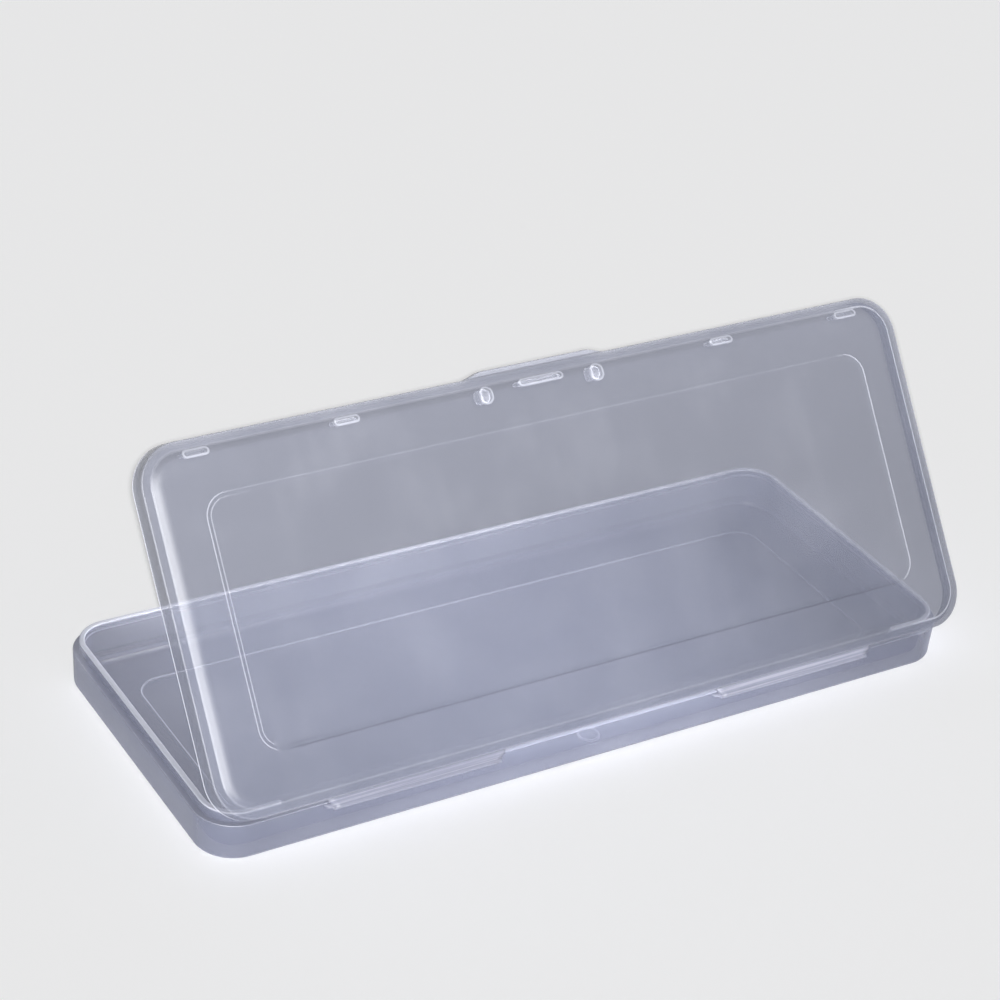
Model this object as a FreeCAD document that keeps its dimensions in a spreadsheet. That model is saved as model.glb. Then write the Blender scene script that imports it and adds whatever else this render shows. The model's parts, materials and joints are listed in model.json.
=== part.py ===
import FreeCAD, Part
import math
import os
import types
import Sketcher

# A flat, long storage case moulded in one shot of milky polypropylene: a shallow tray and a lid
# joined by two thin straps that fold along a line outside the long wall.
# The tray stands with its foot at height zero and its centre over the origin.
# X runs along the case. The hinge is on the negative Y side and the front, which opens, on the positive.

doc = FreeCAD.newDocument("StorageCase")

# Driving sizes in millimetres and degrees
SIZES = {
    # Outline shared by tray and lid
    "case_length": 200.0,
    "case_depth": 82.5,
    "corner_radius": 9.7,
    # Tray walls, ledge and rim
    "ledge_height": 9.5,
    "wall_draft": 0.33,
    "foot_rounding": 1.2,
    "ledge_rounding": 0.25,
    "rim_inset": 1.45,
    "rim_height": 2.47,
    "rim_thickness": 1.24,
    "rim_rounding": 0.3,
    "rim_return_length": 17.7,
    "rim_end_rounding": 1.2,
    # Tray inside and floor
    "floor_thickness": 1.2,
    "inside_draft": 0.5,
    "inside_rounding": 1.5,
    "floor_panel_end_margin": 12.5,
    "floor_panel_side_margin": 13.7,
    "floor_panel_radius": 5.9,
    "floor_panel_sink": 0.3,
    "floor_panel_slope": 0.5,
    "gate_spot_diameter": 5.0,
    "gate_spot_rise": 0.35,
    "gate_spot_margin": 7.25,
    # Lid skirt, shoulder and crown, measured up from the plane of the tray's ledge
    "closing_gap": 0.25,
    "skirt_height": 5.2,
    "skirt_draft": 0.26,
    "skirt_thickness": 1.05,
    "shoulder_rounding": 0.35,
    "crown_inset": 2.31,
    "crown_rise": 0.97,
    "crown_slope": 1.34,
    "crown_rounding": 4.2,
    "crown_inside_step": 0.36,
    "shell_thickness": 1.1,
    "lid_panel_end_margin": 12.7,
    "lid_panel_side_margin": 13.0,
    "lid_panel_radius": 5.4,
    "lid_panel_sink": 0.3,
    "lid_panel_slope": 1.1,
    # Thumb lip on the lid's front wall
    "lip_root_length": 37.4,
    "lip_tip_length": 28.6,
    "lip_reach": 1.05,
    "lip_bottom": 1.6,
    "lip_thickness": 2.8,
    "lip_rounding": 0.35,
    # Lugs and pegs that hang from the lid just inside the tray's front rim
    "lug_clearance": 0.28,
    "lug_width": 1.05,
    "lug_length": 5.4,
    "centre_lug_length": 10.8,
    "lug_drop": 3.2,
    "outer_lug_margin": 13.9,
    "inner_lug_margin": 50.2,
    "peg_width": 2.4,
    "peg_length": 3.3,
    "peg_drop": 3.2,
    "peg_place": 14.7,
    # Folding straps
    "hinge_reach": 2.06,
    "strap_end_margin": 26.5,
    "strap_root_length": 45.0,
    "strap_fold_length": 41.0,
    "leaf_thickness": 0.8,
    "film_inner_radius": 0.25,
    "film_thickness": 0.35,
    "film_cut_angle": 60.0,
    # How far the lid stands open
    "open_angle": 53.3,
}
# Corners of lugs and pegs are rounded by this share of their smaller width
ROUND_END_SHARE = 0.49
# Edges count as lying on a level when they are this close to it
NEAR = 0.001
# A whole turn in degrees
FULL_TURN = 360

sheet = doc.addObject("Spreadsheet::Sheet", "sizes")
for row, (alias, value) in enumerate(SIZES.items(), start=1):
    sheet.set(f"A{row}", alias)
    sheet.set(f"B{row}", str(value))
    sheet.setAlias(f"B{row}", alias)
doc.recompute()


class Measure:
    """A size that is known both as a number and as a formula of the sheet's names."""

    def __init__(self, text, number):
        self.text = text
        self.number = number

    def __add__(self, other):
        other = as_measure(other)
        return Measure(f"({self.text} + {other.text})", self.number + other.number)

    def __sub__(self, other):
        other = as_measure(other)
        return Measure(f"({self.text} - {other.text})", self.number - other.number)

    def __mul__(self, other):
        other = as_measure(other)
        return Measure(f"({self.text} * {other.text})", self.number * other.number)

    def __truediv__(self, other):
        other = as_measure(other)
        return Measure(f"({self.text} / {other.text})", self.number / other.number)

    def __neg__(self):
        return Measure(f"(-1 * {self.text})", -self.number)

    def __radd__(self, other):
        return as_measure(other) + self

    def __rsub__(self, other):
        return as_measure(other) - self

    def __rmul__(self, other):
        return as_measure(other) * self


def as_measure(value):
    """Take a plain number as a measure."""
    return value if isinstance(value, Measure) else Measure(str(value), value)


def narrowing(run, rise):
    """Slope of a wall that comes in by the run over the rise, as an extrusion's taper."""
    angle = math.degrees(math.atan(run.number / rise.number))
    return Measure(f"-atan({run.text} / {rise.text})", -angle)


def cosine(angle):
    """Cosine of an angle kept in degrees."""
    return Measure(f"cos({angle.text} * 1 deg)", math.cos(math.radians(angle.number)))


def sine(angle):
    """Sine of an angle kept in degrees."""
    return Measure(f"sin({angle.text} * 1 deg)", math.sin(math.radians(angle.number)))


size = types.SimpleNamespace(**{name: Measure(f"sizes.{name}", sheet.get(name)) for name in SIZES})
ZERO = as_measure(0)

# Heights, insets and lines that several pieces share
rim_top = size.ledge_height + size.rim_height
rim_inside = size.rim_inset + size.rim_thickness
hinge_wall = -size.case_depth / 2
hinge_line = hinge_wall - size.hinge_reach
skirt_rise = size.skirt_height - size.closing_gap
lid_top = size.skirt_height + size.crown_rise
shoulder_underside = size.skirt_height - size.shell_thickness
ceiling = lid_top - size.shell_thickness
crown_inside = size.crown_inset + size.crown_inside_step
crown_draft = narrowing(size.crown_slope, size.crown_rise)
lid_middle = size.hinge_reach + size.case_depth / 2
lid_front = size.hinge_reach + size.case_depth
film_outside = size.film_inner_radius + size.film_thickness
leaf_depth = size.closing_gap + size.leaf_thickness


def bind(thing, path, measure):
    """Let one property of an object follow a formula of the sheet's names."""
    thing.setExpression(path, as_measure(measure).text)


def new_body(label):
    """Start a sub-part."""
    body = doc.addObject("PartDesign::Body", label)
    body.Label = label
    return body


def new_sketch(body, name, role, offset, middle):
    """Start a sketch on a plane parallel to one of the body's own origin planes."""
    planes = {feature.Role: feature for feature in body.Origin.OriginFeatures}
    sketch = body.newObject("Sketcher::SketchObject", name)
    sketch.AttachmentSupport = [(planes[role], "")]
    sketch.MapMode = "FlatFace"
    bind(sketch, "AttachmentOffset.Base.x", middle[0])
    bind(sketch, "AttachmentOffset.Base.y", middle[1])
    bind(sketch, "AttachmentOffset.Base.z", offset)
    return sketch


def hold(sketch, kind, places, name, measure):
    """Add one measured constraint that follows a formula."""
    index = sketch.addConstraint(Sketcher.Constraint(kind, *places, measure.number))
    sketch.renameConstraint(index, name)
    bind(sketch, f"Constraints.{name}", measure)


def rounded_outline(body, name, height, length, depth, radius, middle):
    """Draw a rounded rectangle on a level plane."""
    sketch = new_sketch(body, name, "XY_Plane", height, middle)
    along = length.number / 2
    across = depth.number / 2
    straight_x = along - radius.number
    straight_y = across - radius.number
    ends = [(-straight_x, -across), (straight_x, -across), (along, -straight_y), (along, straight_y),
            (straight_x, across), (-straight_x, across), (-along, straight_y), (-along, -straight_y)]
    points = [FreeCAD.Vector(x, y, 0) for x, y in ends]
    for first in range(0, len(points), 2):
        sketch.addGeometry(Part.LineSegment(points[first], points[first + 1]), False)
    centres = [(straight_x, -straight_y), (straight_x, straight_y), (-straight_x, straight_y),
               (-straight_x, -straight_y)]
    quarter = math.pi / 2
    for turn, (x, y) in enumerate(centres):
        circle = Part.Circle(FreeCAD.Vector(x, y, 0), FreeCAD.Vector(0, 0, 1), radius.number)
        sketch.addGeometry(Part.ArcOfCircle(circle, quarter * (turn - 1), quarter * turn), False)
    for side in range(4):
        arc = side + 4
        sketch.addConstraint(Sketcher.Constraint("Tangent", side, 2, arc, 1))
        sketch.addConstraint(Sketcher.Constraint("Tangent", arc, 2, (side + 1) % 4, 1))
    for side, kind in enumerate(("Horizontal", "Vertical", "Horizontal", "Vertical")):
        sketch.addConstraint(Sketcher.Constraint(kind, side))
    for arc in (5, 6, 7):
        sketch.addConstraint(Sketcher.Constraint("Equal", 4, arc))
    sketch.addConstraint(Sketcher.Constraint("Symmetric", 0, 1, 2, 1, -1, 1))
    hold(sketch, "DistanceX", (3, 1, 1, 1), "length", length)
    hold(sketch, "DistanceY", (0, 1, 2, 1), "depth", depth)
    hold(sketch, "Radius", (4,), "bend", radius)
    return sketch


def inset_outline(body, name, height, inset, middle=(ZERO, ZERO)):
    """Draw the case's outline, set in by a distance all round."""
    length = size.case_length - 2 * inset
    depth = size.case_depth - 2 * inset
    return rounded_outline(body, name, height, length, depth, size.corner_radius - inset, middle)


def polygon_outline(body, name, role, offset, shapes, middle=(ZERO, ZERO)):
    """Draw closed polygons whose corners each follow a pair of formulas."""
    sketch = new_sketch(body, name, role, offset, middle)
    for shape in shapes:
        points = [FreeCAD.Vector(x.number, y.number, 0) for x, y in shape]
        first = sketch.GeometryCount
        count = len(points)
        for index, point in enumerate(points):
            sketch.addGeometry(Part.LineSegment(point, points[(index + 1) % count]), False)
        for index, (x, y) in enumerate(shape):
            line = first + index
            following = first + (index + 1) % count
            sketch.addConstraint(Sketcher.Constraint("Coincident", line, 2, following, 1))
            hold(sketch, "DistanceX", (-1, 1, line, 1), f"x{line}", x)
            hold(sketch, "DistanceY", (-1, 1, line, 1), f"y{line}", y)
    return sketch


def extrude(body, kind, name, sketch, length, taper=None, backwards=False):
    """Pad or pocket a sketch, with sloping sides where a taper is given."""
    feature = body.newObject(f"PartDesign::{kind}", name)
    feature.Profile = sketch
    feature.Reversed = backwards
    bind(feature, "Length", length)
    if taper:
        bind(feature, "TaperAngle", taper)
    doc.recompute()
    return feature


def inset_of(point, middle):
    """Measure how far a point lies inside the case's rounded outline."""
    bend = size.corner_radius.number
    past_x = abs(point.x) - (size.case_length / 2 - size.corner_radius).number
    past_y = abs(point.y - middle.number) - (size.case_depth / 2 - size.corner_radius).number
    if past_x > 0 and past_y > 0:
        return bend - math.hypot(past_x, past_y)
    return bend - max(past_x, past_y)


def edges_at(feature, level, low, high, middle=ZERO):
    """List the edges of a feature that lie on one level, between two insets from the case's outline."""
    found = {}
    for index, edge in enumerate(feature.Shape.Edges, start=1):
        box = edge.BoundBox
        halfway = edge.valueAt((edge.FirstParameter + edge.LastParameter) / 2)
        flat = max(abs(box.ZMin - level.number), abs(box.ZMax - level.number)) < NEAR
        if flat and low.number - NEAR < inset_of(halfway, middle) < high.number + NEAR:
            found[f"Edge{index}"] = edge
    return found


def rounding(body, name, base, edges, radius):
    """Round the named edges of a feature."""
    feature = body.newObject("PartDesign::Fillet", name)
    feature.Base = (base, list(edges))
    bind(feature, "Radius", radius)
    doc.recompute()
    return feature


def make_tray():
    """Tray: drafted outer wall, ledge, raised rim on the front and the ends, hollow inside."""
    body = new_body("base_tray")
    outline = inset_outline(body, "tray_outline", size.ledge_height, ZERO)
    draft = narrowing(size.wall_draft, size.ledge_height)
    extrude(body, "Pad", "tray_block", outline, size.ledge_height, draft, True)
    rim_outline = inset_outline(body, "rim_outline", size.ledge_height, size.rim_inset)
    extrude(body, "Pad", "rim_block", rim_outline, size.rim_height)
    inside = inset_outline(body, "inside_outline", rim_top, rim_inside)
    inside_depth = rim_top - size.floor_thickness
    extrude(body, "Pocket", "inside", inside, inside_depth, narrowing(size.inside_draft, inside_depth))

    # Along the hinge the rim stops, so that the lid can swing over the ledge
    half_gap = size.case_length / 2 - size.rim_return_length
    inner_line = hinge_wall + 2 * rim_inside
    gap_shape = [(-half_gap, hinge_wall), (half_gap, hinge_wall), (half_gap, inner_line), (-half_gap, inner_line)]
    gap = polygon_outline(body, "rim_gap_outline", "XY_Plane", rim_top, [gap_shape])
    extrude(body, "Pocket", "rim_gap", gap, size.rim_height)

    # The middle of the floor is sunk, down a short slope
    panel_length = size.case_length - 2 * size.floor_panel_end_margin
    panel_depth = size.case_depth - 2 * size.floor_panel_side_margin
    panel = rounded_outline(body, "floor_panel_outline", size.floor_thickness, panel_length, panel_depth,
                            size.floor_panel_radius, (ZERO, ZERO))
    slope = narrowing(size.floor_panel_slope, size.floor_panel_sink)
    extrude(body, "Pocket", "floor_panel", panel, size.floor_panel_sink, slope)

    # Round spot on the floor where the plastic came into the mould
    spot = new_sketch(body, "gate_spot_outline", "XY_Plane", size.floor_thickness, (ZERO, ZERO))
    spot_line = hinge_wall + size.gate_spot_margin
    centre = FreeCAD.Vector(0, spot_line.number, 0)
    circle = Part.Circle(centre, FreeCAD.Vector(0, 0, 1), size.gate_spot_diameter.number / 2)
    spot.addGeometry(circle, False)
    spot.addConstraint(Sketcher.Constraint("PointOnObject", 0, 3, -2))
    hold(spot, "DistanceY", (-1, 1, 0, 3), "place", spot_line)
    hold(spot, "Diameter", (0,), "width", size.gate_spot_diameter)
    step = extrude(body, "Pad", "gate_spot", spot, size.gate_spot_rise)

    # Rounded edges: the rim's two ends, the rim's top, the ledge, the foot and the corner at the floor
    crest = edges_at(step, rim_top, ZERO, rim_inside)
    short = [name for name, edge in crest.items() if edge.Length < (2 * size.rim_thickness).number]
    step = rounding(body, "rim_end_rounding", step, short, size.rim_end_rounding)
    crest = edges_at(step, rim_top, ZERO, rim_inside)
    long = [name for name, edge in crest.items() if edge.Length > (2 * size.rim_thickness).number]
    step = rounding(body, "rim_rounding", step, long, size.rim_rounding)
    ledge = edges_at(step, size.ledge_height, ZERO, size.rim_inset / 2)
    step = rounding(body, "ledge_rounding", step, ledge, size.ledge_rounding)
    foot = edges_at(step, ZERO, ZERO, size.rim_inset)
    step = rounding(body, "foot_rounding", step, foot, size.foot_rounding)
    corner = edges_at(step, size.floor_thickness, rim_inside, rim_inside + 2 * size.inside_draft)
    rounding(body, "inside_rounding", step, corner, size.inside_rounding)
    return body


def around_hinge(turn):
    """Place a piece that is drawn around the hinge line, turned about that line."""
    line = FreeCAD.Vector(0, hinge_line.number, size.ledge_height.number)
    return FreeCAD.Placement(line, FreeCAD.Rotation(FreeCAD.Vector(1, 0, 0), turn.number))


def make_lid():
    """Lid: drafted skirt, level shoulder, low crown with a sunk panel, thumb lip on the front wall."""
    body = new_body("lid_shell")
    middle = (ZERO, lid_middle)
    draft = narrowing(size.skirt_draft, skirt_rise)
    outline = inset_outline(body, "skirt_outline", size.closing_gap, ZERO, middle)
    extrude(body, "Pad", "skirt_block", outline, skirt_rise, draft)

    # The thumb lip's ends run out slantwise into the wall
    half_root = size.lip_root_length / 2
    half_tip = size.lip_tip_length / 2
    root_line = lid_front - size.skirt_thickness / 2
    wall_line = lid_front - size.skirt_draft
    tip_line = lid_front + size.lip_reach
    lip_shape = [(-half_root, root_line), (half_root, root_line), (half_root, wall_line), (half_tip, tip_line),
                 (-half_tip, tip_line), (-half_root, wall_line)]
    lip = polygon_outline(body, "lip_outline", "XY_Plane", size.lip_bottom, [lip_shape])
    step = extrude(body, "Pad", "thumb_lip", lip, size.lip_thickness)
    lip_edges = []
    for level in (size.lip_bottom, size.lip_bottom + size.lip_thickness):
        lip_edges.extend(edges_at(step, level, -2 * size.lip_reach, ZERO, lid_middle))
    rounding(body, "lip_rounding", step, lip_edges, size.lip_rounding)

    # The crown rises from the shoulder in a low curve, and the shoulder's edge is rounded
    crown = inset_outline(body, "crown_outline", size.skirt_height, size.crown_inset, middle)
    step = extrude(body, "Pad", "crown_block", crown, size.crown_rise, crown_draft)
    crown_edge = size.crown_inset + size.crown_slope
    crest = edges_at(step, lid_top, crown_edge, crown_edge, lid_middle)
    step = rounding(body, "crown_rounding", step, crest, size.crown_rounding)
    shoulder = edges_at(step, size.skirt_height, ZERO, size.crown_inset / 2, lid_middle)
    rounding(body, "shoulder_rounding", step, shoulder, size.shoulder_rounding)

    # The space inside follows the skirt and then the crown
    skirt_space = inset_outline(body, "skirt_space_outline", size.closing_gap, size.skirt_thickness, middle)
    extrude(body, "Pocket", "skirt_space", skirt_space, shoulder_underside - size.closing_gap, draft, True)
    crown_space = inset_outline(body, "crown_space_outline", shoulder_underside, crown_inside, middle)
    extrude(body, "Pocket", "crown_space", crown_space, size.crown_rise, crown_draft, True)

    # The middle of the face is sunk, down a wide slope
    panel_length = size.case_length - 2 * size.lid_panel_end_margin
    panel_depth = size.case_depth - 2 * size.lid_panel_side_margin
    panel = rounded_outline(body, "lid_panel_outline", lid_top, panel_length, panel_depth, size.lid_panel_radius,
                            middle)
    slope = narrowing(size.lid_panel_slope, size.lid_panel_sink)
    extrude(body, "Pocket", "lid_panel", panel, size.lid_panel_sink, slope)
    body.Placement = around_hinge(size.open_angle)
    return body


def make_hanging_piece(label, place, length, depth, drop):
    """Lug or peg: hangs from the lid's ceiling and slips down just inside the tray's front rim."""
    body = new_body(label)
    middle_line = lid_front - rim_inside - size.lug_clearance - depth / 2
    smaller = min((length, depth), key=lambda measure: measure.number)
    outline = rounded_outline(body, f"{label}_outline", ceiling - drop, length, depth, ROUND_END_SHARE * smaller,
                              (place, middle_line))
    extrude(body, "Pad", f"{label}_block", outline, drop)
    # Its root is cut to the slope between the lid's shoulder and its crown
    shoulder_line = lid_front - crown_inside
    crown_line = shoulder_line - size.crown_slope
    slope_shape = [(crown_line, ceiling), (shoulder_line, shoulder_underside), (shoulder_line, ceiling)]
    slope = polygon_outline(body, f"{label}_slope", "YZ_Plane", place - length, [slope_shape])
    extrude(body, "Pocket", f"{label}_root", slope, 2 * length, None, True)
    body.Placement = around_hinge(size.open_angle)
    return body


def make_leaf(label, place, way, root_lines, turn):
    """Hinge leaf: a thin plate that tapers from the wall to the fold and is narrower along the fold."""
    body = new_body(label)
    across = cosine(size.film_cut_angle)
    aside = way * sine(size.film_cut_angle)
    near_line, far_line = root_lines
    section_shape = [(size.film_inner_radius * across, size.film_inner_radius * aside),
                     (film_outside * across, film_outside * aside),
                     (far_line, way * leaf_depth), (near_line, way * size.closing_gap)]
    start = place - size.strap_root_length / 2
    section = polygon_outline(body, f"{label}_section", "YZ_Plane", start, [section_shape])
    extrude(body, "Pad", f"{label}_plate", section, size.strap_root_length)
    half_root = size.strap_root_length / 2
    half_fold = size.strap_fold_length / 2
    half_end = half_fold - (half_root - half_fold) * film_outside / size.hinge_reach
    ends = []
    for side in (-1, 1):
        ends.append([(side * half_root, size.hinge_reach), (side * half_end, -film_outside),
                     (side * half_root, -film_outside)])
    trims = polygon_outline(body, f"{label}_ends", "XY_Plane", ZERO, ends, (place, ZERO))
    extrude(body, "Pocket", f"{label}_taper", trims, 2 * leaf_depth, None, way > 0)
    body.Placement = around_hinge(turn)
    return body


def make_film(label, place):
    """Hinge film: the thin web that bends round the hinge line between the two leaves of a strap."""
    body = new_body(label)
    half = size.strap_fold_length / 2
    shape = [(-half, size.film_inner_radius), (half, size.film_inner_radius), (half, film_outside),
             (-half, film_outside)]
    section = polygon_outline(body, f"{label}_section", "XY_Plane", ZERO, [shape], (place, ZERO))
    web = body.newObject("PartDesign::Revolution", f"{label}_web")
    web.Profile = section
    web.ReferenceAxis = (section, ["H_Axis"])
    bind(web, "Angle", FULL_TURN - size.open_angle - 2 * size.film_cut_angle)
    doc.recompute()
    body.Placement = around_hinge(size.open_angle + size.film_cut_angle)
    return body


# A leaf's root follows the slope of the wall that it grows from, given at its two faces
tray_slope = size.wall_draft / size.ledge_height
lid_slope = size.skirt_draft / skirt_rise
tray_root = (size.hinge_reach + tray_slope * size.closing_gap, size.hinge_reach + tray_slope * leaf_depth)
lid_root = (size.hinge_reach, size.hinge_reach + lid_slope * size.leaf_thickness)

# Straps and lugs keep their distance from the ends of the case
half_length = size.case_length / 2
strap_place = half_length - size.strap_end_margin - size.strap_root_length / 2
outer_lug_place = half_length - size.outer_lug_margin
inner_lug_place = half_length - size.inner_lug_margin

# The pieces, each with a name of its own
pieces = [make_tray(), make_lid()]
for side, way in (("left", -1), ("right", 1)):
    strap = way * strap_place
    pieces.append(make_leaf(f"{side}_tray_leaf", strap, -1, tray_root, ZERO))
    pieces.append(make_leaf(f"{side}_lid_leaf", strap, 1, lid_root, size.open_angle))
    pieces.append(make_film(f"{side}_hinge_film", strap))
    lug_size = (size.lug_length, size.lug_width, size.lug_drop)
    pieces.append(make_hanging_piece(f"{side}_outer_lug", way * outer_lug_place, *lug_size))
    pieces.append(make_hanging_piece(f"{side}_inner_lug", way * inner_lug_place, *lug_size))
    peg_size = (size.peg_width, size.peg_length, size.peg_drop)
    pieces.append(make_hanging_piece(f"{side}_peg", way * size.peg_place, *peg_size))
pieces.append(make_hanging_piece("centre_lug", ZERO, size.centre_lug_length, size.lug_width, size.lug_drop))
doc.recompute()

# Every feature and every solid must be sound before anything is written
for thing in doc.Objects:
    if "Invalid" in thing.State or "Error" in thing.State:
        raise RuntimeError(f"{thing.Label} failed: {thing.State}")
for piece in pieces:
    shape = piece.Shape
    if shape.isNull() or not shape.isValid() or len(shape.Solids) != 1:
        raise RuntimeError(f"{piece.Label} is not one sound solid")

os.makedirs("parts", exist_ok=True)
for piece in pieces:
    piece.Shape.exportStep(f"parts/{piece.Label}.step")
    print(f"{piece.Label}: {piece.Shape.Volume:.1f} cubic millimetres")
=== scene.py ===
# %% [markdown]
# A flat hinged storage case
#
# The case is one moulding of milky polypropylene: a shallow tray, a lid, and two thin straps
# that fold between them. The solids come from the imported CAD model, which Blender dresses
# and never reshapes. Objects are in metres, and the finishes below count in millimetres.

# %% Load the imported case
import json
import math
import bmesh
import bpy
from mathutils import Matrix, Vector


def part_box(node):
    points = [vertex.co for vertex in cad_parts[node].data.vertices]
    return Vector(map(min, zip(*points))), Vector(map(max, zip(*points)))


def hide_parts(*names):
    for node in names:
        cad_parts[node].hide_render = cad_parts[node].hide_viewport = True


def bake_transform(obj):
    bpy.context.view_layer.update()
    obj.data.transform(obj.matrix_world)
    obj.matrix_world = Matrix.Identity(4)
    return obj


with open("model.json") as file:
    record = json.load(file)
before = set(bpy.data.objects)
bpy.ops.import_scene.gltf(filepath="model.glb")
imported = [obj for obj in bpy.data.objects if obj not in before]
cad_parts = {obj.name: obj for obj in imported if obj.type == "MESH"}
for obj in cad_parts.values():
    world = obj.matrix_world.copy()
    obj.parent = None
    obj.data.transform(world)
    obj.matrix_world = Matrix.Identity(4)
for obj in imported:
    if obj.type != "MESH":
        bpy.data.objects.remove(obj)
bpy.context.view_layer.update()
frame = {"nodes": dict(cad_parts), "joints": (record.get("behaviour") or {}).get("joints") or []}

nodes = frame["nodes"]
print("solids in the case:", len(nodes))

# %% [markdown]
# The hinge line
#
# The lid's pieces stand in the model as they do in the picture, about 53 degrees open. Textures
# and hand-made pieces are easier to think about on a closed, level lid. The angle could be typed
# in again here, but then it might one day disagree with the solids. So we read the hinge line and
# the opening angle from the joint, and turn between the two positions with one matrix.

# %% Read the hinge from the joint
MM = 0.001
hinge = frame["joints"][0]
hinge_point = Vector(hinge["pos_m"])
open_angle = -math.radians(hinge["range_deg"][0])
lid_turn = Matrix.Rotation(open_angle, 4, "X")
print("hinge line at", tuple(round(value, 5) for value in hinge_point))
print("lid open by", round(math.degrees(open_angle), 1), "degrees")

# %% [markdown]
# The camera
#
# A long lens looks from the hinge side, a little above and to the left. The view is rolled by a
# few degrees, so a constraint that aims at a target would not do. We give the three axes of the
# camera directly: they are the columns of its matrix, in the order right, up and back.

# %% Place the camera
SENSOR_WIDTH = 36.0
FOCAL_SHARE = 2.771
camera_data = bpy.data.cameras.new("camera")
camera_data.sensor_width = SENSOR_WIDTH
camera_data.lens = SENSOR_WIDTH * FOCAL_SHARE
camera = bpy.data.objects.new("camera", camera_data)
camera_place = Vector((-0.30975, -0.45883, 0.37727))
right = Vector((0.85874, -0.50595, 0.08111))
up = Vector((0.20215, 0.47997, 0.85368))
back = Vector((-0.47085, -0.71669, 0.51445))
axes = Matrix((right, up, back)).transposed().to_4x4()
camera.matrix_world = Matrix.Translation(camera_place) @ axes
bpy.context.scene.collection.objects.link(camera)
bpy.context.scene.camera = camera
print("lens", round(camera_data.lens, 2), "mm")

# %% [markdown]
# Small helpers for node trees
#
# A finish can be drawn by hand in the shader editor. Made by code it is a list of nodes and links,
# which is long to write out, so a few short helpers keep each recipe readable: one adds a node and
# fills its inputs, one does a sum, and the others turn a measured distance into a soft mask.

# %% Helpers that add nodes


def add(tree, kind, inputs=None, **settings):
    """Add a node, set its options and fill its inputs with values or links."""
    made = tree.nodes.new(kind)
    for name, value in settings.items():
        setattr(made, name, value)
    for name, value in (inputs or {}).items():
        if isinstance(value, bpy.types.NodeSocket):
            tree.links.new(value, made.inputs[name])
        else:
            made.inputs[name].default_value = value
    return made


def calc(tree, operation, first, second=0.0):
    """Do one sum on two values or links."""
    return add(tree, "ShaderNodeMath", {0: first, 1: second}, operation=operation).outputs[0]


def split(tree, place):
    """The three coordinates of a place."""
    return add(tree, "ShaderNodeSeparateXYZ", {0: place}).outputs


def noise(tree, place, scale, detail):
    """A soft random texture."""
    return add(tree, "ShaderNodeTexNoise", {"Vector": place, "Scale": scale, "Detail": detail}).outputs[0]


def blend_colours(tree, share, first, second):
    """Mix two colours by a share. On a colour mix, inputs 0, 6 and 7 are the share and the colours."""
    inputs = {0: share, 6: first, 7: second}
    return add(tree, "ShaderNodeMix", inputs, data_type="RGBA", clamp_factor=True).outputs[2]


print("made the helpers that add nodes")

# %% Helpers that make masks
LINE_CORE_SHARE = 0.4


def fade(tree, value, start, end, low=0.0, high=1.0):
    """Go smoothly from low to high while the value goes from start to end."""
    inputs = {"Value": value, "From Min": start, "From Max": end, "To Min": low, "To Max": high}
    return add(tree, "ShaderNodeMapRange", inputs, interpolation_type="SMOOTHSTEP").outputs[0]


def band(tree, value, middle, half_width):
    """Give 1 on a line where the value is at the middle, and 0 beyond half a width of it."""
    away = calc(tree, "ABSOLUTE", calc(tree, "SUBTRACT", value, middle))
    return fade(tree, away, half_width, half_width * LINE_CORE_SHARE)


def overlap(tree, *masks):
    """Where all the masks hold."""
    result = 1.0
    for mask in masks:
        result = calc(tree, "MULTIPLY", mask, result)
    return result


def strongest(tree, *shares):
    """The largest of several masks, each given with its strength."""
    result = 0.0
    for mask, strength in shares:
        result = calc(tree, "MAXIMUM", calc(tree, "MULTIPLY", mask, strength), result)
    return result


print("made the helpers for masks, lines with a core of", LINE_CORE_SHARE)

# %% [markdown]
# Where a point is on the tray and on the lid
#
# The finishes follow the moulding: edges, panel outlines and rims get painted highlights, the lid's ramp
# gets painted shade along the hinge, and the plastic is whiter where it is thick. Painted maps could mark
# them, but they would need an unwrapped mesh. We find them by coordinates instead, in millimetres and level
# with the piece. The tray already lies level. For the lid we move to the hinge line and turn it shut.

# %% Coordinates for the finishes


def in_millimetres(tree, place):
    """Scale a place from metres to millimetres."""
    return add(tree, "ShaderNodeVectorMath", {0: place, "Scale": 1 / MM}, operation="SCALE").outputs[0]


def tray_place(tree):
    """Coordinates in millimetres, from the middle of the tray's foot."""
    return in_millimetres(tree, add(tree, "ShaderNodeTexCoord").outputs["Object"])


def lid_place(tree):
    """Coordinates in millimetres on the level, closed lid, from the middle of the tray's ledge."""
    place = add(tree, "ShaderNodeTexCoord").outputs["Object"]
    shut = {"Vector": place, "Center": hinge_point, "Angle": -open_angle}
    turned = add(tree, "ShaderNodeVectorRotate", shut, rotation_type="X_AXIS").outputs[0]
    ledge = (0, 0, hinge_point.z)
    level = add(tree, "ShaderNodeVectorMath", {0: turned, 1: ledge}, operation="SUBTRACT").outputs[0]
    return in_millimetres(tree, level)


print("millimetres in a metre:", round(1 / MM))

# %% How far inside an outline
HALF_LENGTH = 100.0
HALF_DEPTH = 41.25
CORNER_RADIUS = 9.7


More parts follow.
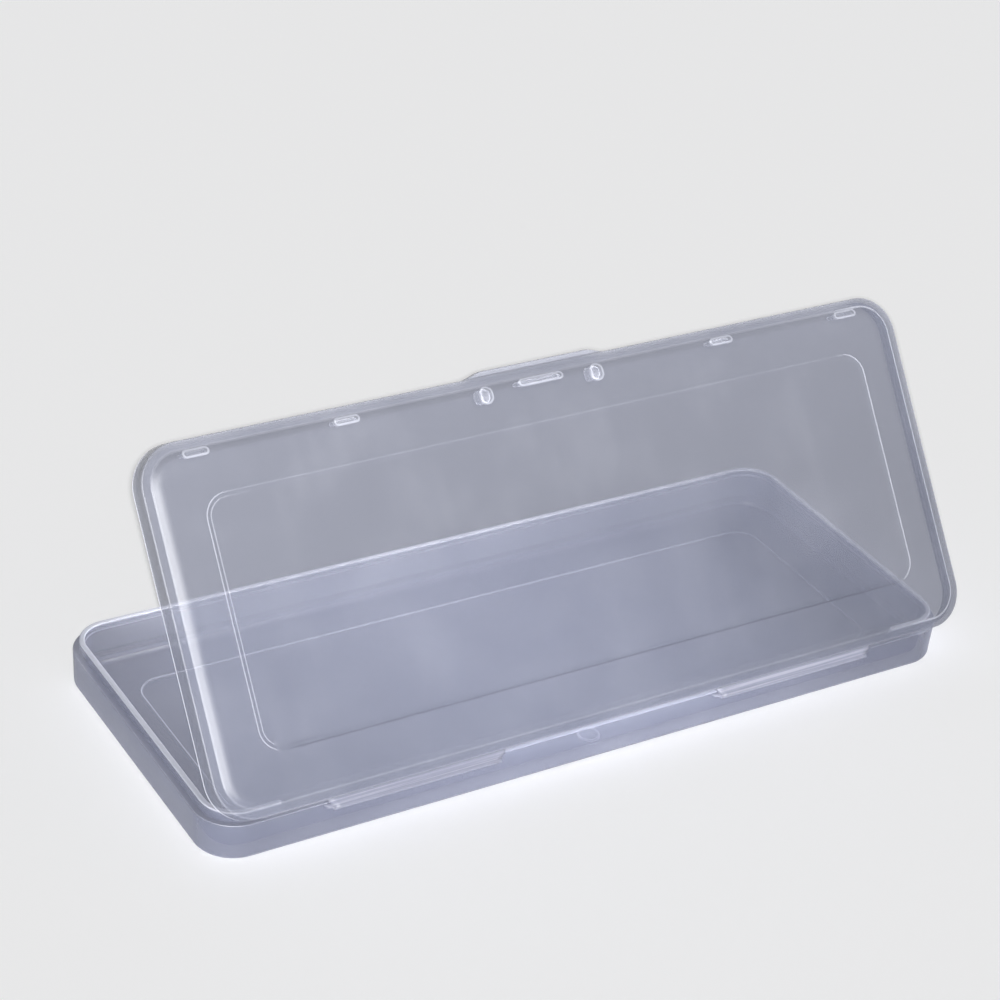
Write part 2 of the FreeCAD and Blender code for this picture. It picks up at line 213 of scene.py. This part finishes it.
def inset(tree, place, half_length, half_depth, bend):
    """How far a point lies inside a rounded rectangle, in millimetres."""
    x, y = split(tree, place)[:2]
    past_x = calc(tree, "SUBTRACT", calc(tree, "ABSOLUTE", x), half_length - bend)
    past_y = calc(tree, "SUBTRACT", calc(tree, "ABSOLUTE", y), half_depth - bend)
    square_x = calc(tree, "POWER", calc(tree, "MAXIMUM", past_x), 2.0)
    square_y = calc(tree, "POWER", calc(tree, "MAXIMUM", past_y), 2.0)
    corner = calc(tree, "SQRT", calc(tree, "ADD", square_x, square_y))
    inner = calc(tree, "MINIMUM", calc(tree, "MAXIMUM", past_x, past_y))
    return calc(tree, "SUBTRACT", calc(tree, "SUBTRACT", bend, corner), inner)


def case_inset(tree, place):
    """How far a point lies inside the outline of the case, in millimetres."""
    return inset(tree, place, HALF_LENGTH, HALF_DEPTH, CORNER_RADIUS)


print("case outline", 2 * HALF_LENGTH, "x", 2 * HALF_DEPTH, "mm")

# %% [markdown]
# Hairlines and dust
#
# A case that has been handled carries short fine scratches and a few specks. They could be drawn
# one by one as thin meshes. Cells do it with no geometry: a Voronoi texture gives the distance to
# the nearest of many scattered points, so a small distance is a dot, and on a stretched cell it is
# a hairline.

# %% Scratches and specks
HAIRLINE_TILT = (0.3, 0.2)
HAIRLINE_STRETCH = 0.045


def scratches(tree, place, angle, spacing):
    """Short hairline scratches: the centres of stretched cells."""
    across = 1 / spacing
    inputs = {"Vector": place, "Rotation": (*HAIRLINE_TILT, angle),
              "Scale": (across, HAIRLINE_STRETCH * across, across)}
    stretched = add(tree, "ShaderNodeMapping", inputs).outputs[0]
    cells = add(tree, "ShaderNodeTexVoronoi", {"Vector": stretched, "Scale": 1.0})
    return fade(tree, cells.outputs["Distance"], 0.02, 0.008)


def specks(tree, place, spacing, radius):
    """Grains of dust: small dots at the centres of cells."""
    cells = add(tree, "ShaderNodeTexVoronoi", {"Vector": place, "Scale": 1 / spacing})
    return fade(tree, cells.outputs["Distance"], radius / spacing, 0.5 * radius / spacing)


print("hairline cells are", round(1 / HAIRLINE_STRETCH), "times as long as they are wide")

# %% [markdown]
# Milky plastic
#
# Polypropylene lets most light through and scatters the rest, so it looks like thin milk with a
# satin shine. A glass shader would bend and darken everything behind it, and a real scattering
# volume is slow and grainy in walls this thin. A plain surface with some alpha, on both faces of
# each wall, gives the same veil with clean shadows. On top come the marks that a moulding has:
# slow clouds, flow lines, a fine grain, short scratches and dust specks.

# %% The plastic's textures and colour
# Marks above zero blend towards the whiter colour: whitening of the plastic, and painted highlights. Marks
# below zero blend towards the darker colour: painted shade, and the darker parts of the clouds.
WHITENING_AND_HIGHLIGHT = (0.87, 0.885, 0.97, 1)
DARKENING_AND_PAINTED_SHADE = (0.02, 0.02, 0.03, 1)
DUST_GREY = (0.1, 0.1, 0.11, 1)
CLOUD_SHADE = 0.03
FLOW_SHADE = 0.008
HAIRLINE_SHADE = 0.15
DUST_SHADE = 0.7


def moulding_textures(tree, place):
    """Clouds, flow lines, grain, hairlines and dust on a moulded sheet."""
    stretched = add(tree, "ShaderNodeMapping", {"Vector": place, "Scale": (0.35, 0.03, 0.35)}).outputs[0]
    cloud = noise(tree, place, 0.05, 3.0)
    flow = noise(tree, stretched, 1.0, 4.0)
    grain = noise(tree, place, 1.2, 2.0)
    hairlines = calc(tree, "MAXIMUM", scratches(tree, place, 0.25, 9.0), scratches(tree, place, -0.6, 13.0))
    dust = specks(tree, place, 24.0, 0.2)
    return cloud, flow, grain, hairlines, dust


def plastic_colour(tree, tint, light, cloud, flow, hairlines, dust):
    """The tint, whiter where the marks are above zero (whitening and painted highlights) and darker where
    they are below (painted shade).
    """
    clouds = fade(tree, cloud, 0.25, 0.75, -CLOUD_SHADE, CLOUD_SHADE)
    flow_lines = fade(tree, flow, 0.3, 0.7, -FLOW_SHADE, FLOW_SHADE)
    shade = calc(tree, "ADD", clouds, flow_lines)
    scratched = calc(tree, "MULTIPLY", hairlines, HAIRLINE_SHADE)
    whiter = calc(tree, "ADD", calc(tree, "ADD", light, shade), scratched)
    colour = blend_colours(tree, whiter, tint, WHITENING_AND_HIGHLIGHT)
    colour = blend_colours(tree, calc(tree, "MULTIPLY", whiter, -1.0), colour, DARKENING_AND_PAINTED_SHADE)
    return blend_colours(tree, calc(tree, "MULTIPLY", dust, DUST_SHADE), colour, DUST_GREY)


print("made the plastic's colour recipe")

# %% The plastic's recipe
PLASTIC_IOR = 1.49
SMOOTHEST = 0.31
ROUGHEST = 0.35
HAIRLINE_ROUGHNESS = 0.15
FLOW_HEIGHT = 0.0006
GRAIN_HEIGHT = 0.0003
MARK_DENSITY = 0.5
THICK_DENSITY = 0.12


def milky_plastic(name, tint, solid, find_place, marks, thicker=None):
    """Make a milky plastic. Marks say how much whiter or darker a point is, painted highlights and painted
    shade among them; thicker says how dense.
    """
    material = bpy.data.materials.new(name)
    material.use_nodes = True
    tree = material.node_tree
    shader = tree.nodes["Principled BSDF"]
    place = find_place(tree)
    light = marks(tree, place)
    cloud, flow, grain, hairlines, dust = moulding_textures(tree, place)
    colour = plastic_colour(tree, tint, light, cloud, flow, hairlines, dust)
    tree.links.new(colour, shader.inputs["Base Color"])

    satin = fade(tree, grain, 0.3, 0.7, SMOOTHEST, ROUGHEST)
    rough = calc(tree, "ADD", satin, calc(tree, "MULTIPLY", hairlines, HAIRLINE_ROUGHNESS))
    tree.links.new(rough, shader.inputs["Roughness"])
    flow_height = calc(tree, "MULTIPLY", flow, FLOW_HEIGHT)
    height = calc(tree, "ADD", flow_height, calc(tree, "MULTIPLY", grain, GRAIN_HEIGHT))
    bump = add(tree, "ShaderNodeBump", {"Height": height, "Distance": MM, "Strength": 1.0})
    tree.links.new(bump.outputs[0], shader.inputs["Normal"])

    marked = calc(tree, "MAXIMUM", calc(tree, "ABSOLUTE", light), dust)
    denser = calc(tree, "MULTIPLY", marked, MARK_DENSITY)
    if thicker:
        denser = calc(tree, "ADD", denser, calc(tree, "MULTIPLY", thicker(tree, place), THICK_DENSITY))
    tree.links.new(calc(tree, "ADD", solid, denser), shader.inputs["Alpha"])
    shader.inputs["IOR"].default_value = PLASTIC_IOR
    print("made", name, "with", len(tree.nodes), "nodes")
    return material


# %% [markdown]
# The tray's finish
#
# On the tray the foot, the ledge and above all the top of the rim get painted highlights, so they are
# lighter than the walls. The outline of the sunk floor panel is a fine painted highlight line, and a
# ring marks the gate where the plastic was injected. The walls on the far side and the right are
# painted lighter, a painted light for the light they catch. Each of these could be a material of its
# own on its own faces, but then it would end in a hard edge. Masks in one material fade into each
# other, as the plastic does.

# %% Dress the tray
LEDGE_HEIGHT = hinge_point.z / MM
RIM_TOP = 11.8
RIM_ROOT = 10.35
RIM_INSET = 2.5
FLOOR_TOP = 1.2
FLOOR_PANEL = (87.5, 27.55, 5.9)
GATE_MIDDLE = (0, -34, FLOOR_TOP)
GATE_RADIUS = 2.5
TRAY_TINT = (0.172, 0.184, 0.254, 1)
WALL_ALPHA = 0.42


def tray_marks(tree, place):
    """Painted highlights on the tray's edges and rims, painted light on the far walls, and a ring at the
    gate.
    """
    x, y, z = split(tree, place)
    edge = case_inset(tree, place)
    # Painted highlights: the ledge, the top and root of the rim, the foot, the floor panel's outline and the
    # foot of the inner wall are painted lighter.
    ledge = overlap(tree, band(tree, z, LEDGE_HEIGHT, 0.3), fade(tree, edge, 1.5, 1.3))
    rim_top_highlight = fade(tree, z, RIM_TOP - 0.4, RIM_TOP)
    rim_root_highlight = overlap(tree, fade(tree, edge, RIM_INSET - 0.3, RIM_INSET), band(tree, z, RIM_ROOT, 0.4))
    foot = fade(tree, z, 1.1, 0.5)
    on_floor = fade(tree, z, FLOOR_TOP + 0.5, FLOOR_TOP + 0.3)
    panel_highlight = overlap(tree, on_floor, band(tree, inset(tree, place, *FLOOR_PANEL), 0.15, 0.28))
    wall_foot_highlight = overlap(tree, band(tree, edge, 3.9, 0.6), band(tree, z, 1.6, 0.6))
    measure = {0: place, 1: GATE_MIDDLE}
    from_gate = add(tree, "ShaderNodeVectorMath", measure, operation="DISTANCE").outputs["Value"]
    gate = band(tree, from_gate, GATE_RADIUS, 0.4)
    # Painted light: the far and right walls are painted lighter, standing for the light they catch.
    far_or_right = calc(tree, "MAXIMUM", fade(tree, y, 37.0, 38.0), fade(tree, x, 95.5, 96.5))
    far_walls_painted_light = overlap(tree, far_or_right, fade(tree, z, 1.8, 3.0))
    return strongest(tree, (ledge, 0.2), (rim_top_highlight, 0.55), (rim_root_highlight, 0.25), (foot, 0.1),
                     (panel_highlight, 0.22), (wall_foot_highlight, 0.05), (gate, 0.5), (far_walls_painted_light, 0.13))


def tray_thicker(tree, place):
    """The outer wall, which we look along more than through."""
    z = split(tree, place)[2]
    below_ledge = fade(tree, z, LEDGE_HEIGHT - 0.2, LEDGE_HEIGHT - 0.5)
    return overlap(tree, fade(tree, case_inset(tree, place), 1.2, 0.8), below_ledge)


tray_plastic = milky_plastic("tray_plastic", TRAY_TINT, WALL_ALPHA, tray_place, tray_marks, tray_thicker)
nodes["base_tray"].data.materials[0] = tray_plastic

# %% [markdown]
# White spots at the lugs and pegs
#
# The lugs and pegs stand under the lid's front edge, and the plastic is thick there, so each one
# shows from outside as a white lozenge, with a painted highlight along its outline. The lozenges
# could be typed in as numbers. We measure the solids instead, turned shut, so that the spots stay on
# the lugs when the model changes. The case is the same on the left and right, so one side is
# measured and the other mirrored.

# %% Find the lugs and pegs
SPOT_NAMES = ("right_outer_lug", "right_inner_lug", "right_peg", "centre_lug")
SPOT_FILL = 0.18


def closed_box(name):
    """Middle and half sizes of a piece of the lid, in millimetres on the closed lid."""
    shut = lid_turn.inverted()
    points = [(shut @ (vertex.co - hinge_point) + hinge_point) / MM for vertex in nodes[name].data.vertices]
    low = [min(point[axis] for point in points) for axis in (0, 1)]
    high = [max(point[axis] for point in points) for axis in (0, 1)]
    return [(a + b) / 2 for a, b in zip(low, high)], [(b - a) / 2 for a, b in zip(low, high)]


def lug_spots(tree, x, y, grow):
    """White lozenges at the lugs and pegs, with a painted highlight along their outlines."""
    found = 0.0
    away = calc(tree, "ABSOLUTE", x)
    for name in SPOT_NAMES:
        middle, half = closed_box(name)
        from_middle = {0: calc(tree, "SUBTRACT", away, middle[0]), 1: calc(tree, "SUBTRACT", y, middle[1])}
        centred = add(tree, "ShaderNodeCombineXYZ", from_middle).outputs[0]
        spot = inset(tree, centred, half[0] + grow, half[1] + grow, min(half) + grow)
        filled = calc(tree, "MULTIPLY", fade(tree, spot, -0.2, 0.2), SPOT_FILL)
        # The fill is whiter, thick plastic; the band along the outline is a painted highlight.
        found = calc(tree, "MAXIMUM", found, calc(tree, "MAXIMUM", filled, band(tree, spot, 0.1, 0.35)))
    return found


for name in SPOT_NAMES:
    print(name, "half sizes", [round(size, 2) for size in closed_box(name)[1]], "mm")

# %% [markdown]
# The lid's finish
#
# The lid's free edge gets the brightest painted highlight on the case, above all at its two ends, and
# the left end more than the right. Its shoulder and crown get painted highlights too, the crown most at
# the right end, and the narrow ramp round the sunk panel is a fine painted line: a highlight at the
# ends, faint along the front, and a painted shade along the hinge, where the ramp turns away from the
# light. Lamps alone can't draw lines this thin and clean, so the marks help them.

# %% Dress the lid
LID_PANEL = (87.3, 28.25, 5.4)
# The lid is the same plastic as the tray, but its tint is darker: a painted shade that offsets the key lamp,
# which lights the lid and not the tray.
LID_TINT_PAINTED_DARKER = (0.139, 0.148, 0.192, 1)
RAMP_PAINTED_LIGHT = 0.3


def ramp_painted_light(tree, place):
    """Painted light on the ramp round the sunk panel: a painted highlight above zero, a painted shade below
    zero.
    """
    x, y, z = split(tree, place)
    panel = inset(tree, place, *LID_PANEL)
    inner_line = overlap(tree, band(tree, panel, 1.05, 0.22), fade(tree, x, -70.0, -80.0, 0.0, 0.8))
    lines = calc(tree, "MAXIMUM", band(tree, panel, 0.05, 0.22), inner_line)
    # Painted shade along the hinge side, a faint painted highlight along the front, and a painted highlight
    # at the ends.
    hinge_shade_front_highlight = fade(tree, y, -10.0, 10.0, -1.6, 0.25)
    painted_shade_and_highlight = fade(tree, calc(tree, "ABSOLUTE", x), 79.0, 86.0, hinge_shade_front_highlight, 1.0)
    return overlap(tree, fade(tree, z, 5.4, 5.6), lines, painted_shade_and_highlight)


def lid_marks(tree, place):
    """Painted highlights on the lid's edges, whiter spots at the lugs and the lip, and the ramp's painted
    light and shade.
    """
    x, y, z = split(tree, place)
    away = calc(tree, "ABSOLUTE", x)
    edge = case_inset(tree, place)
    outside = fade(tree, z, 4.6, 4.9)
    # Painted highlights: the free edge, strongest at the left end, the shoulder, and the crown, strongest at
    # the right end.
    free_edge_highlight = overlap(tree, band(tree, z, 0.4, 0.25), fade(tree, edge, 0.3, 0.15),
                        fade(tree, away, 92.0, 99.0, 0.25, 1.0), fade(tree, x, 85.0, 95.0, 1.0, 0.5))
    shoulder = overlap(tree, outside, band(tree, edge, 0.4, 0.4))
    shoulder_top_highlight = overlap(tree, outside, fade(tree, edge, 2.5, 2.2))
    crown = overlap(tree, outside, band(tree, edge, 2.4, 0.35), fade(tree, x, 80.0, 92.0, 0.3, 1.0))
    spots = overlap(tree, outside, lug_spots(tree, x, y, 0.3))
    lip = fade(tree, y, 41.3, 41.5)
    lip_root = overlap(tree, band(tree, y, 41.5, 0.35), fade(tree, away, 19.0, 18.0))
    light = strongest(tree, (free_edge_highlight, 0.7), (shoulder, 0.08), (shoulder_top_highlight, 0.03), (crown, 0.35),
                      (spots, 0.28), (lip, 0.2), (lip_root, 0.2))
    return calc(tree, "ADD", light, calc(tree, "MULTIPLY", ramp_painted_light(tree, place), RAMP_PAINTED_LIGHT))


lid_plastic = milky_plastic("lid_plastic", LID_TINT_PAINTED_DARKER, WALL_ALPHA, lid_place, lid_marks)
nodes["lid_shell"].data.materials[0] = lid_plastic

# %% [markdown]
# Lugs and pegs
#
# We see them through the lid. A dense material would make flat white blocks of them, so they get
# little alpha, and the same painted highlight outlines as on the lid above, which together look like solid
# milk.

# %% Dress the lugs and pegs
LUG_TINT = (0.38, 0.39, 0.44, 1)
LUG_ALPHA = 0.15
LUG_OUTLINE = 0.4


def lug_marks(tree, place):
    """Lugs and pegs are whiter, with a painted highlight along their edges."""
    x, y = split(tree, place)[:2]
    return calc(tree, "MULTIPLY", lug_spots(tree, x, y, 0.0), LUG_OUTLINE)


lug_plastic = milky_plastic("lug_plastic", LUG_TINT, LUG_ALPHA, lid_place, lug_marks)
lugs = [node for name, node in nodes.items() if name.endswith(("_lug", "_peg"))]
for lug in lugs:
    lug.data.materials[0] = lug_plastic
print("dressed", len(lugs), "lugs and pegs")

# %% [markdown]
# The folding straps
#
# Each strap is one thin sheet that grows out of the tray's wall, bends round the hinge line and
# runs into the lid's wall. The solids have it in three pieces, which can't bend. A flat sheet with
# a bend modifier could do it, but its two ends would then have to be fitted to the walls. We draw
# the bent section where it belongs: two points at the tray's wall, an arc round the hinge line, and
# the same two points mirrored and turned with the lid.

# %% Draw the strap's section
FOLD_INNER = 0.25 * MM
FOLD_OUTER = 0.6 * MM
FOLD_STEPS = 14
FOLD_START = math.radians(60)
AT_WALL = ((2.10 * MM, -0.25 * MM), (2.13 * MM, -1.05 * MM))
NEAR_FOLD = ((1.1 * MM, -0.235 * MM), (1.2 * MM, -0.79 * MM))


def strap_section():
    """Inner and outer points about the hinge line, from the tray's wall round to the lid's."""
    start = -FOLD_START
    end = FOLD_START + open_angle - 2 * math.pi
    bend = []
    for step in range(FOLD_STEPS + 1):
        angle = start + (end - start) * step / FOLD_STEPS
        out = Vector((math.cos(angle), math.sin(angle)))
        bend.append((out * FOLD_INNER, out * FOLD_OUTER))
    lid_side = []
    for pair in (NEAR_FOLD, AT_WALL):
        mirrored = [Vector((0, y, -z, 1)) for y, z in pair]
        lid_side.append([(lid_turn @ point).yz for point in mirrored])
    return [AT_WALL, NEAR_FOLD] + bend + lid_side


print("strap section with", len(strap_section()), "pairs of points")

# %% [markdown]
# From section to strap
#
# The section is swept along the hinge. A curve with a bevel could sweep it, but the strap is a
# little shorter at its fold than at the walls, so each line of points gets a length of its own.
# The inner and outer points make one ring, and the ring's neighbours are joined with faces.

# %% Sweep the strap
COLUMNS = 24
FOLD_HALF = 20.5 * MM
FLARE = 2.0 * MM
FLARE_REACH = 2.06 * MM


def strap_line(mesh, middle, y, z):
    """One row of points along the hinge, longer the further it is from the hinge line."""
    half = FOLD_HALF + FLARE * min(math.hypot(y, z) / FLARE_REACH, 1.0)
    places = [middle + half * (2 * column / COLUMNS - 1) for column in range(COLUMNS + 1)]
    return [mesh.verts.new((x, hinge_point.y + y, hinge_point.z + z)) for x in places]


def build_strap(name, middle):
    """Sweep the section along the hinge and close both ends."""
    section = strap_section()
    ring = [pair[0] for pair in section] + [pair[1] for pair in reversed(section)]
    mesh = bmesh.new()
    lines = [strap_line(mesh, middle, y, z) for y, z in ring]
    for line, following in zip(lines, lines[1:] + lines[:1]):
        for column in range(COLUMNS):
            mesh.faces.new((line[column], following[column], following[column + 1], line[column + 1]))
    for row in range(len(section) - 1):
        inner, outer = lines[row:row + 2], lines[-2 - row:len(lines) - row]
        for end in (0, COLUMNS):
            mesh.faces.new((inner[0][end], inner[1][end], outer[0][end], outer[1][end]))
    bmesh.ops.recalc_face_normals(mesh, faces=mesh.faces)
    for face in mesh.faces:
        face.smooth = True
    data = bpy.data.meshes.new(name)
    mesh.to_mesh(data)
    mesh.free()
    strap = bpy.data.objects.new(name, data)
    bpy.context.scene.collection.objects.link(strap)
    return strap


print("strap", 2 * FOLD_HALF / MM, "mm long at the fold")

# %% [markdown]
# Straps bent at the opening angle
#
# On the real case the fold is stressed and stripy, and whiter than the rest. The finish gets stripes
# that run along the hinge. Each strap keeps the bend it is drawn with, at the lid's opening angle.

# %% Fit the straps
STRAP_TINT = (0.32, 0.33, 0.42, 1)
STRAP_ALPHA = 0.5
FOLD_HEIGHT = 9.3


def strap_marks(tree, place):
    """Fine stripes run along the strap, and its fold is whiter than the rest."""
    z = split(tree, place)[2]
    along = add(tree, "ShaderNodeMapping", {"Vector": place, "Scale": (0.02, 3.0, 3.0)}).outputs[0]
    stripes = fade(tree, noise(tree, along, 1.0, 2.0), 0.45, 0.65)
    return strongest(tree, (band(tree, z, FOLD_HEIGHT, 0.5), 0.15), (stripes, 0.25))


hinge_plastic = milky_plastic("hinge_plastic", STRAP_TINT, STRAP_ALPHA, tray_place, strap_marks)
straps = []
for side in ("left", "right"):
    low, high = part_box(f"{side}_hinge_film")
    strap = build_strap(f"{side}_strap", (low.x + high.x) / 2)
    strap.data.materials.append(hinge_plastic)
    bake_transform(strap)
    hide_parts(f"{side}_tray_leaf", f"{side}_lid_leaf", f"{side}_hinge_film")
    straps.append(strap)
    print("strap", strap.name, "faces", len(strap.data.polygons))

# %% [markdown]
# The floor
#
# A plain sheet of pale paper. A curved backdrop is usual in a studio, to hide the far edge. This
# sheet is so much larger than the picture that its far edge never shows. It lies a hair below the
# tray's foot, because two faces in one place flicker.

# %% Lay the floor
FLOOR_REACH = 20.0
FLOOR_DROP = 0.05 * MM
floor_mesh = bpy.data.meshes.new("floor")
corners = [(x * FLOOR_REACH, y * FLOOR_REACH, 0) for x, y in ((-1, -1), (1, -1), (1, 1), (-1, 1))]
floor_mesh.from_pydata(corners, [], [(0, 1, 2, 3)])
floor = bpy.data.objects.new("floor", floor_mesh)
floor.location.z = -FLOOR_DROP
bpy.context.scene.collection.objects.link(floor)
paper = bpy.data.materials.new("paper")
paper.use_nodes = True
paper_shader = paper.node_tree.nodes["Principled BSDF"]
paper_shader.inputs["Base Color"].default_value = (0.97, 0.97, 0.972, 1)
paper_shader.inputs["Roughness"].default_value = 0.9
paper_shader.inputs["Specular IOR Level"].default_value = 0.1
floor_mesh.materials.append(paper)
print("floor", 2 * FLOOR_REACH, "m wide")

# %% [markdown]
# Lamps for some pieces only
#
# A weak sky fills the shadows. Real milky plastic hands light on inside itself, so the tray glows
# even under the lid. Alpha can't do that. Brighter lamps would burn out the lid, so most lamps are
# linked to the pieces that they light, and to the pieces that may shade them.

# %% Hang the sky and link lamps
world = bpy.data.worlds.new("sky")
world.use_nodes = True
sky = world.node_tree.nodes["Background"]
sky.inputs["Color"].default_value = (0.97, 0.98, 1.0, 1)
sky.inputs["Strength"].default_value = 0.15
bpy.context.scene.world = world

case = list(nodes.values()) + straps
tray = [nodes["base_tray"]]
lid_shell = [nodes["lid_shell"]]
above_tray = [piece for piece in case if piece not in tray]


def gather(name, pieces):
    """Put pieces in a collection, for a lamp to refer to."""
    collection = bpy.data.collections.new(name)
    for piece in pieces:
        collection.objects.link(piece)
    return collection


def light_only(lamp, pieces, shaded_by=None):
    """Let a lamp light these pieces alone, and let only the given pieces shade them."""
    lamp.light_linking.receiver_collection = gather(lamp.name + "_lit", pieces)
    if shaded_by is not None:
        lamp.light_linking.blocker_collection = gather(lamp.name + "_shade", shaded_by)


print("pieces of the case:", len(case))

# %% [markdown]
# The key lamp
#
# It stands beside the lens like a ring flash, so the case hides its own shadow and the lid stands
# in front of an evenly shaded floor. A sun's rays are parallel and would leave bright strips of
# floor behind the lid. A bare lamp would light the near floor far more than the far floor: its
# light fades with the cube of how steeply the ray goes down. The lamp is made stronger by the same
# factor, as a wall washer is, and the floor comes out even. It lights the floor and the lid. The
# tray gets lamps of its own below.

# %% Hang the key lamp
LEAST_DOWN = 0.1
key = bpy.data.lights.new("key", "POINT")
key.energy = 3.85
key.shadow_soft_size = 0.006
key.use_nodes = True
key_tree = key.node_tree
shine = next(node for node in key_tree.nodes if node.type == "EMISSION")
ray = add(key_tree, "ShaderNodeTexCoord").outputs["Normal"]
down = calc(key_tree, "ABSOLUTE", split(key_tree, ray)[2])
even = calc(key_tree, "POWER", calc(key_tree, "MAXIMUM", down, LEAST_DOWN), -3.0)
key_tree.links.new(even, shine.inputs["Strength"])
key_lamp = bpy.data.objects.new("key", key)
key_lamp.location = (-0.31, -0.46, 0.38)
key_lamp.visible_glossy = False
bpy.context.scene.collection.objects.link(key_lamp)
light_only(key_lamp, [floor] + above_tray)
print("key lamp lights", len(above_tray), "pieces and the floor")

# %% [markdown]
# Softboxes
#
# Two softboxes at the sides model the case's edges. One above lights the tray and the lugs without
# the lid shading them, one in front lights the tray's outer walls, and a low one lifts the lid's
# hinge side. A large panel is there only to be mirrored in the crown's rounding: it gives gloss and
# no light. One big soft lamp would be simpler, but it would flatten the walls and edges.

# %% Make a softbox


def softbox(name, place, aim, width, height, power, spread=180):
    """Hang a rectangular lamp that faces a point; a small spread is a honeycomb grid on its front."""
    lamp = bpy.data.lights.new(name, "AREA")
    lamp.shape = "RECTANGLE"
    lamp.size = width
    lamp.size_y = height
    lamp.energy = power
    lamp.spread = math.radians(spread)
    box = bpy.data.objects.new(name, lamp)
    box.location = place
    box.rotation_euler = (Vector(aim) - Vector(place)).to_track_quat("-Z", "Y").to_euler()
    bpy.context.scene.collection.objects.link(box)
    return box


case_middle = (0, 0, 0.03)
print("softboxes aim near", case_middle)

# %% Hang the softboxes
left_box = softbox("left_box", (-0.576, -0.448, 0.35), case_middle, width=0.26, height=0.5, power=2.2)
right_box = softbox("right_box", (0.72, 0.10, 0.13), case_middle, width=0.12, height=0.5, power=18.0)
inside_box = softbox("inside_box", (0.0, -0.16, 0.25), (0.0, 0.02, 0.005), width=0.06, height=0.06,
                     power=0.165, spread=42)
front_box = softbox("front_box", (-0.35, -0.55, 0.06), (0, 0, 0.01), width=0.3, height=0.1, power=4.8)
low_box = softbox("low_box", (-0.13, -0.22, 0.02), (-0.03, -0.02, 0.03), width=0.2, height=0.03, power=0.55)
mirror_panel = softbox("mirror_panel", (-0.47, -0.57, 0.41), case_middle, width=0.75, height=0.8, power=34.0)
for lamp, lit in ((left_box, case), (right_box, case), (inside_box, tray + lugs), (front_box, tray),
                  (low_box, lid_shell)):
    light_only(lamp, lit, lit)
    print(lamp.name, "lights", len(lit), "pieces")
for lamp in (right_box, low_box):
    lamp.visible_glossy = False
mirror_panel.visible_diffuse = False

# %% [markdown]
# Plain colours and enough layers
#
# The default view transform greys the whites of a pale scene, so the plain one is used. A ray
# through lid, tray and lugs crosses many see-through faces, and each one counts as a bounce.

# %% Set the view
SEE_THROUGH_FACES = 24
bpy.context.scene.view_settings.view_transform = "Standard"
bpy.context.scene.cycles.transparent_max_bounces = SEE_THROUGH_FACES
print("see-through faces on one ray:", SEE_THROUGH_FACES)
